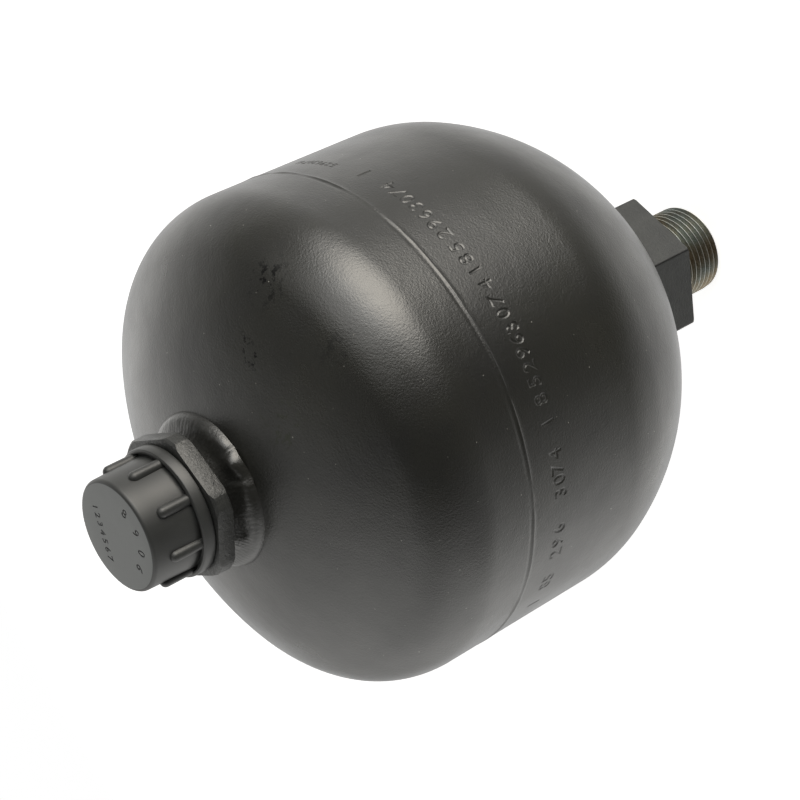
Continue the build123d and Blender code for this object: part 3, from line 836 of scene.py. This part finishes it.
# moulded nitrile rubber: black and matt, with a faint grey bloom
def nitrileRubber():
    material, tree = newMaterial("nitrile_rubber")
    coords = addNode(tree, "ShaderNodeTexCoord").outputs["Object"]
    bloom = addNode(tree, "ShaderNodeTexNoise", {
        "Vector": coords, "Scale": perMm(12.0), "Detail": 5.0}).outputs["Fac"]
    share = addNode(tree, "ShaderNodeMapRange", {"Value": bloom, "From Min": 0.35, "From Max": 0.7}).outputs[0]
    colour = addNode(tree, "ShaderNodeMix", {0: share, 6: linear("#151515"), 7: linear("#222222")},
                     data_type="RGBA")
    bump = addNode(tree, "ShaderNodeBump", {"Strength": 1.0, "Distance": 0.02 * mm, "Height": bloom})
    skin = addNode(tree, "ShaderNodeBsdfPrincipled", {
        "Base Color": colour.outputs[2], "Roughness": 0.7, "Normal": bump.outputs[0]})
    addNode(tree, "ShaderNodeOutputMaterial", {0: skin.outputs[0]})
    return material


domePaint = satinPaint("satin_black_paint", 0.62, 0.062, 0.03, 1.0)
weldPaint = satinPaint("satin_black_paint_on_weld", 0.6, 0.07, 0.02, 0.0)       # the weld keeps no dust
portHexSteel = blackenedSteel("blackened_milled_steel", "#1f2120", "#2c2e2c", 0.8, 0.12, 0.5)
gasHexSteel = blackenedSteel("blackened_forged_steel", "#232423", "#343533", 1.0, 0.22, 0.42)
cornerSteel = blackenedSteel("darker_rounded_hex_corners", "#0b0b0a", "#121211", 0.8, 0.03, 0.42)   # rounded corners of the port hexagon, coloured darker and smoother
threadSteel = oiledSteel("oiled_cut_thread", "#8f8c83", "#bbb9b0", "#c2a779", "#a9c0c6")
crestSteelWithPaintedHighlight = oiledSteel("thread_crest_rubbed_and_painted_highlight", "#a7a7a2", "#d0d0cb", "#e0d6c2", "#d6e4e8")         # rubbed bright, and lighter still as a painted highlight where the crests catch the light
bareSteel = oiledSteel("bare_turned_steel", "#c9c2b2", "#e4dccb", "#fff4dc", "#f4f0e6")
capPlastic = mouldedPlastic("moulded_polyethylene", "#2e2f2e", "#353635")
capEndPaintedLight = mouldedPlastic("moulded_end_painted_light", "#606362", "#696c6b")                           # painted light: the end face painted paler than the rest of the same moulding
steel = turnedSteel()
rubber = nitrileRubber()


# gives each face the material whose number choose(radius, height, normal) returns, in millimetres
def coatByPlace(piece, materials, choose):
    piece.data.materials.clear()
    for material in materials:
        piece.data.materials.append(material)
    for face in piece.data.polygons:
        c = face.center / mm
        face.material_index = choose(math.hypot(c.x, c.y), c.z, face.normal)


# 0 hexagon, 1 thread, 2 thread crest with its painted highlight, 3 relief groove, 4 rounded corners of the
# hexagon
def portFinish(r, z, normal):
    s = portSizes
    if z > s["length"] + 0.01 or r > s["threadR"] + 0.1:
        offFlat = (math.degrees(math.atan2(normal.y, normal.x)) + 30) % 60 - 30
        return 4 if abs(offFlat) > 6 and abs(normal.z) < 0.3 and r > s["flats"] / 2 else 0
    if s["length"] - s["reliefLength"] - 0.3 < z and r < s["threadR"] - 0.1:
        return 3
    return 2 if r > s["threadR"] - 0.1 else 1


# 0 hexagon and neck, 1 thread and recess, 2 thread crest with its painted highlight
def gasFinish(r, z, normal):
    if z < bossFaceZ + 0.05:
        return 0
    return 2 if r > bossSizes["threadR"] - 0.1 else 1


# 0 cap, 1 its end face, painted paler as painted light
def capFinish(r, z, normal):
    return 1 if z > capTopZ - 0.02 and normal.z > 0.9 else 0


for piece in (gasHalf, fluidHalf):
    coat(piece, domePaint)
for piece in (girthBead, portBead, bossBead):
    coat(piece, weldPaint)
coatByPlace(screwCap, [capPlastic, capEndPaintedLight], capFinish)
coatByPlace(portForging, [portHexSteel, threadSteel, crestSteelWithPaintedHighlight, bareSteel, cornerSteel], portFinish)
coatByPlace(gasForging, [gasHexSteel, threadSteel, crestSteelWithPaintedHighlight], gasFinish)
for node in ("clamping_ring", "valve_plate", "charging_screw", "seal_ring"):
    coat(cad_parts[node], steel)
coat(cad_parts["diaphragm"], rubber)
print("materials made")


# the camera is rolled, so that the vessel, which stands on its port here, is seen as if it lay down
cameraSizes = dict(
    place=(13.54, -513.66, 469.87), right=(-0.43906, -0.51345, -0.7372), up=(0.89808, -0.22846, -0.3758),
    lens=100.67, sensor=36, near=0.01,
)
right, up = Vector(cameraSizes["right"]).normalized(), Vector(cameraSizes["up"])
back = right.cross(up).normalized()
up = back.cross(right)
turned = Matrix((right, up, back)).transposed().to_4x4()
camera = bpy.data.objects.new("camera", bpy.data.cameras.new("camera"))
camera.matrix_world = Matrix.Translation(Vector(cameraSizes["place"]) * mm) @ turned
camera.data.lens = cameraSizes["lens"]
camera.data.sensor_width = cameraSizes["sensor"]
camera.data.clip_start = cameraSizes["near"]
scene.collection.objects.link(camera)
scene.camera = camera

# directions are degrees off the line from the part to the viewer, then degrees round that line from its right
lightSizes = dict(
    boxAt=(56.4, 77.8), boxDistance=1.25, boxWide=0.9, boxHigh=0.8, boxPower=4.3, boxColour="#fff0d6",
    boxAim=0.12,
    # direction, cosine where the glow starts, strength
    glows=[
        ((57.1, 79.8), 0.78, 4.00),         # round the softbox
        ((34, 122), 0.86, 1.45), ((54, 142), 0.86, 0.55), ((143.4, -170.5), 0.90, 0.55),
        ((135, 0), 0.57, 0.61), ((135, 60), 0.57, 0.46), ((135, 120), 0.57, 0.68),
        ((135, 180), 0.57, 0.64), ((135, 300), 0.57, 0.54),
        ((95, 225), 0.57, 0.53), ((95, 270), 0.57, 0.72), ((95, 315), 0.57, 0.41),
    ],
    glowColour="#fffefb", room=0.02, wallFrom=0.82, wallFull=0.94,
    floorRadius=0.6, floorDrop=0.0003, floorColour="#e6e6e6", floorGlow=0.75,
)


def towards(off, turn):
    off, turn = math.radians(off), math.radians(turn)
    return back * math.cos(off) + (right * math.cos(turn) + up * math.sin(turn)) * math.sin(off)


def softBox():
    s = lightSizes
    lamp = bpy.data.lights.new("softbox", "AREA")
    lamp.shape = "ELLIPSE"
    lamp.size = s["boxWide"]
    lamp.size_y = s["boxHigh"]
    lamp.energy = s["boxPower"]
    lamp.color = linear(s["boxColour"])[:3]
    box = bpy.data.objects.new("softbox", lamp)
    away = towards(*s["boxAt"])
    across = (right - right.dot(away) * away).normalized()
    spot = Vector((0, 0, s["boxAim"])) + away * s["boxDistance"]
    box.matrix_world = Matrix.Translation(spot) @ Matrix((across, away.cross(across), away)).transposed().to_4x4()
    box.visible_camera = False
    scene.collection.objects.link(box)


# a dim room with broad glows: the spill round the softbox, and the pale table and backdrop of a lying part
def coveWorld():
    s = lightSizes
    world = bpy.data.worlds.new("cove")
    scene.world = world
    world.use_nodes = True
    tree = world.node_tree
    tree.nodes.clear()
    aim = addNode(tree, "ShaderNodeTexCoord").outputs["Generated"]
    strength = s["room"]
    for direction, start, full in s["glows"]:
        facing = addNode(tree, "ShaderNodeVectorMath", {0: aim, 1: towards(*direction)},
                         operation="DOT_PRODUCT")
        patch = addNode(tree, "ShaderNodeMapRange", {
            "Value": facing.outputs["Value"], "From Min": start, "To Max": full},
                        interpolation_type="SMOOTHSTEP")
        strength = addNode(tree, "ShaderNodeMath", {0: strength, 1: patch.outputs[0]},
                           operation="ADD").outputs[0]
    lit = addNode(tree, "ShaderNodeBackground", {"Color": linear(s["glowColour"]), "Strength": strength})
    # the white wall behind the part: all that the viewer sees, and what metal and gloss show where they face it
    white = addNode(tree, "ShaderNodeBackground", {"Color": (1, 1, 1, 1), "Strength": 1.0})
    facing = addNode(tree, "ShaderNodeVectorMath", {0: aim, 1: -back}, operation="DOT_PRODUCT")
    wall = addNode(tree, "ShaderNodeMapRange", {
        "Value": facing.outputs["Value"], "From Min": s["wallFrom"], "From Max": s["wallFull"]},
                   interpolation_type="SMOOTHSTEP")
    path = addNode(tree, "ShaderNodeLightPath")
    mirror = addNode(tree, "ShaderNodeMath", {
        0: path.outputs["Is Glossy Ray"], 1: path.outputs["Is Transmission Ray"]}, operation="MAXIMUM")
    mirrored = addNode(tree, "ShaderNodeMath", {0: mirror.outputs[0], 1: wall.outputs[0]}, operation="MULTIPLY")
    share = addNode(tree, "ShaderNodeMath", {0: path.outputs["Is Camera Ray"], 1: mirrored.outputs[0]},
                    operation="MAXIMUM")
    chosen = addNode(tree, "ShaderNodeMixShader", {0: share.outputs[0], 1: lit.outputs[0], 2: white.outputs[0]})
    addNode(tree, "ShaderNodeOutputWorld", {0: chosen.outputs[0]})


# a floor that only the viewer sees: it lights nothing and shades nothing
def paleFloor():
    s = lightSizes
    bm = bmesh.new()
    bmesh.ops.create_circle(bm, cap_ends=True, segments=96, radius=s["floorRadius"],
                            matrix=Matrix.Translation((0, 0, -s["floorDrop"])))
    mesh = bpy.data.meshes.new("floor")
    bm.to_mesh(mesh)
    bm.free()
    floor = bpy.data.objects.new("floor", mesh)
    scene.collection.objects.link(floor)
    floor.visible_glossy = False
    floor.visible_diffuse = False
    floor.visible_shadow = False
    material, tree = newMaterial("matt_white_floor")
    matt = addNode(tree, "ShaderNodeBsdfDiffuse", {"Color": linear(s["floorColour"])})
    glow = addNode(tree, "ShaderNodeEmission", {"Color": (1, 1, 1, 1), "Strength": s["floorGlow"]})
    nothing = addNode(tree, "ShaderNodeEmission", {"Color": (0, 0, 0, 1), "Strength": 0.0})
    path = addNode(tree, "ShaderNodeLightPath")
    shown = addNode(tree, "ShaderNodeMixShader", {
        0: path.outputs["Is Camera Ray"], 1: nothing.outputs[0], 2: glow.outputs[0]})
    both = addNode(tree, "ShaderNodeAddShader", {0: matt.outputs[0], 1: shown.outputs[0]})
    addNode(tree, "ShaderNodeOutputMaterial", {0: both.outputs[0]})
    coat(floor, material)


softBox()
coveWorld()
paleFloor()

scene.view_settings.view_transform = "Standard"
print("stage set")
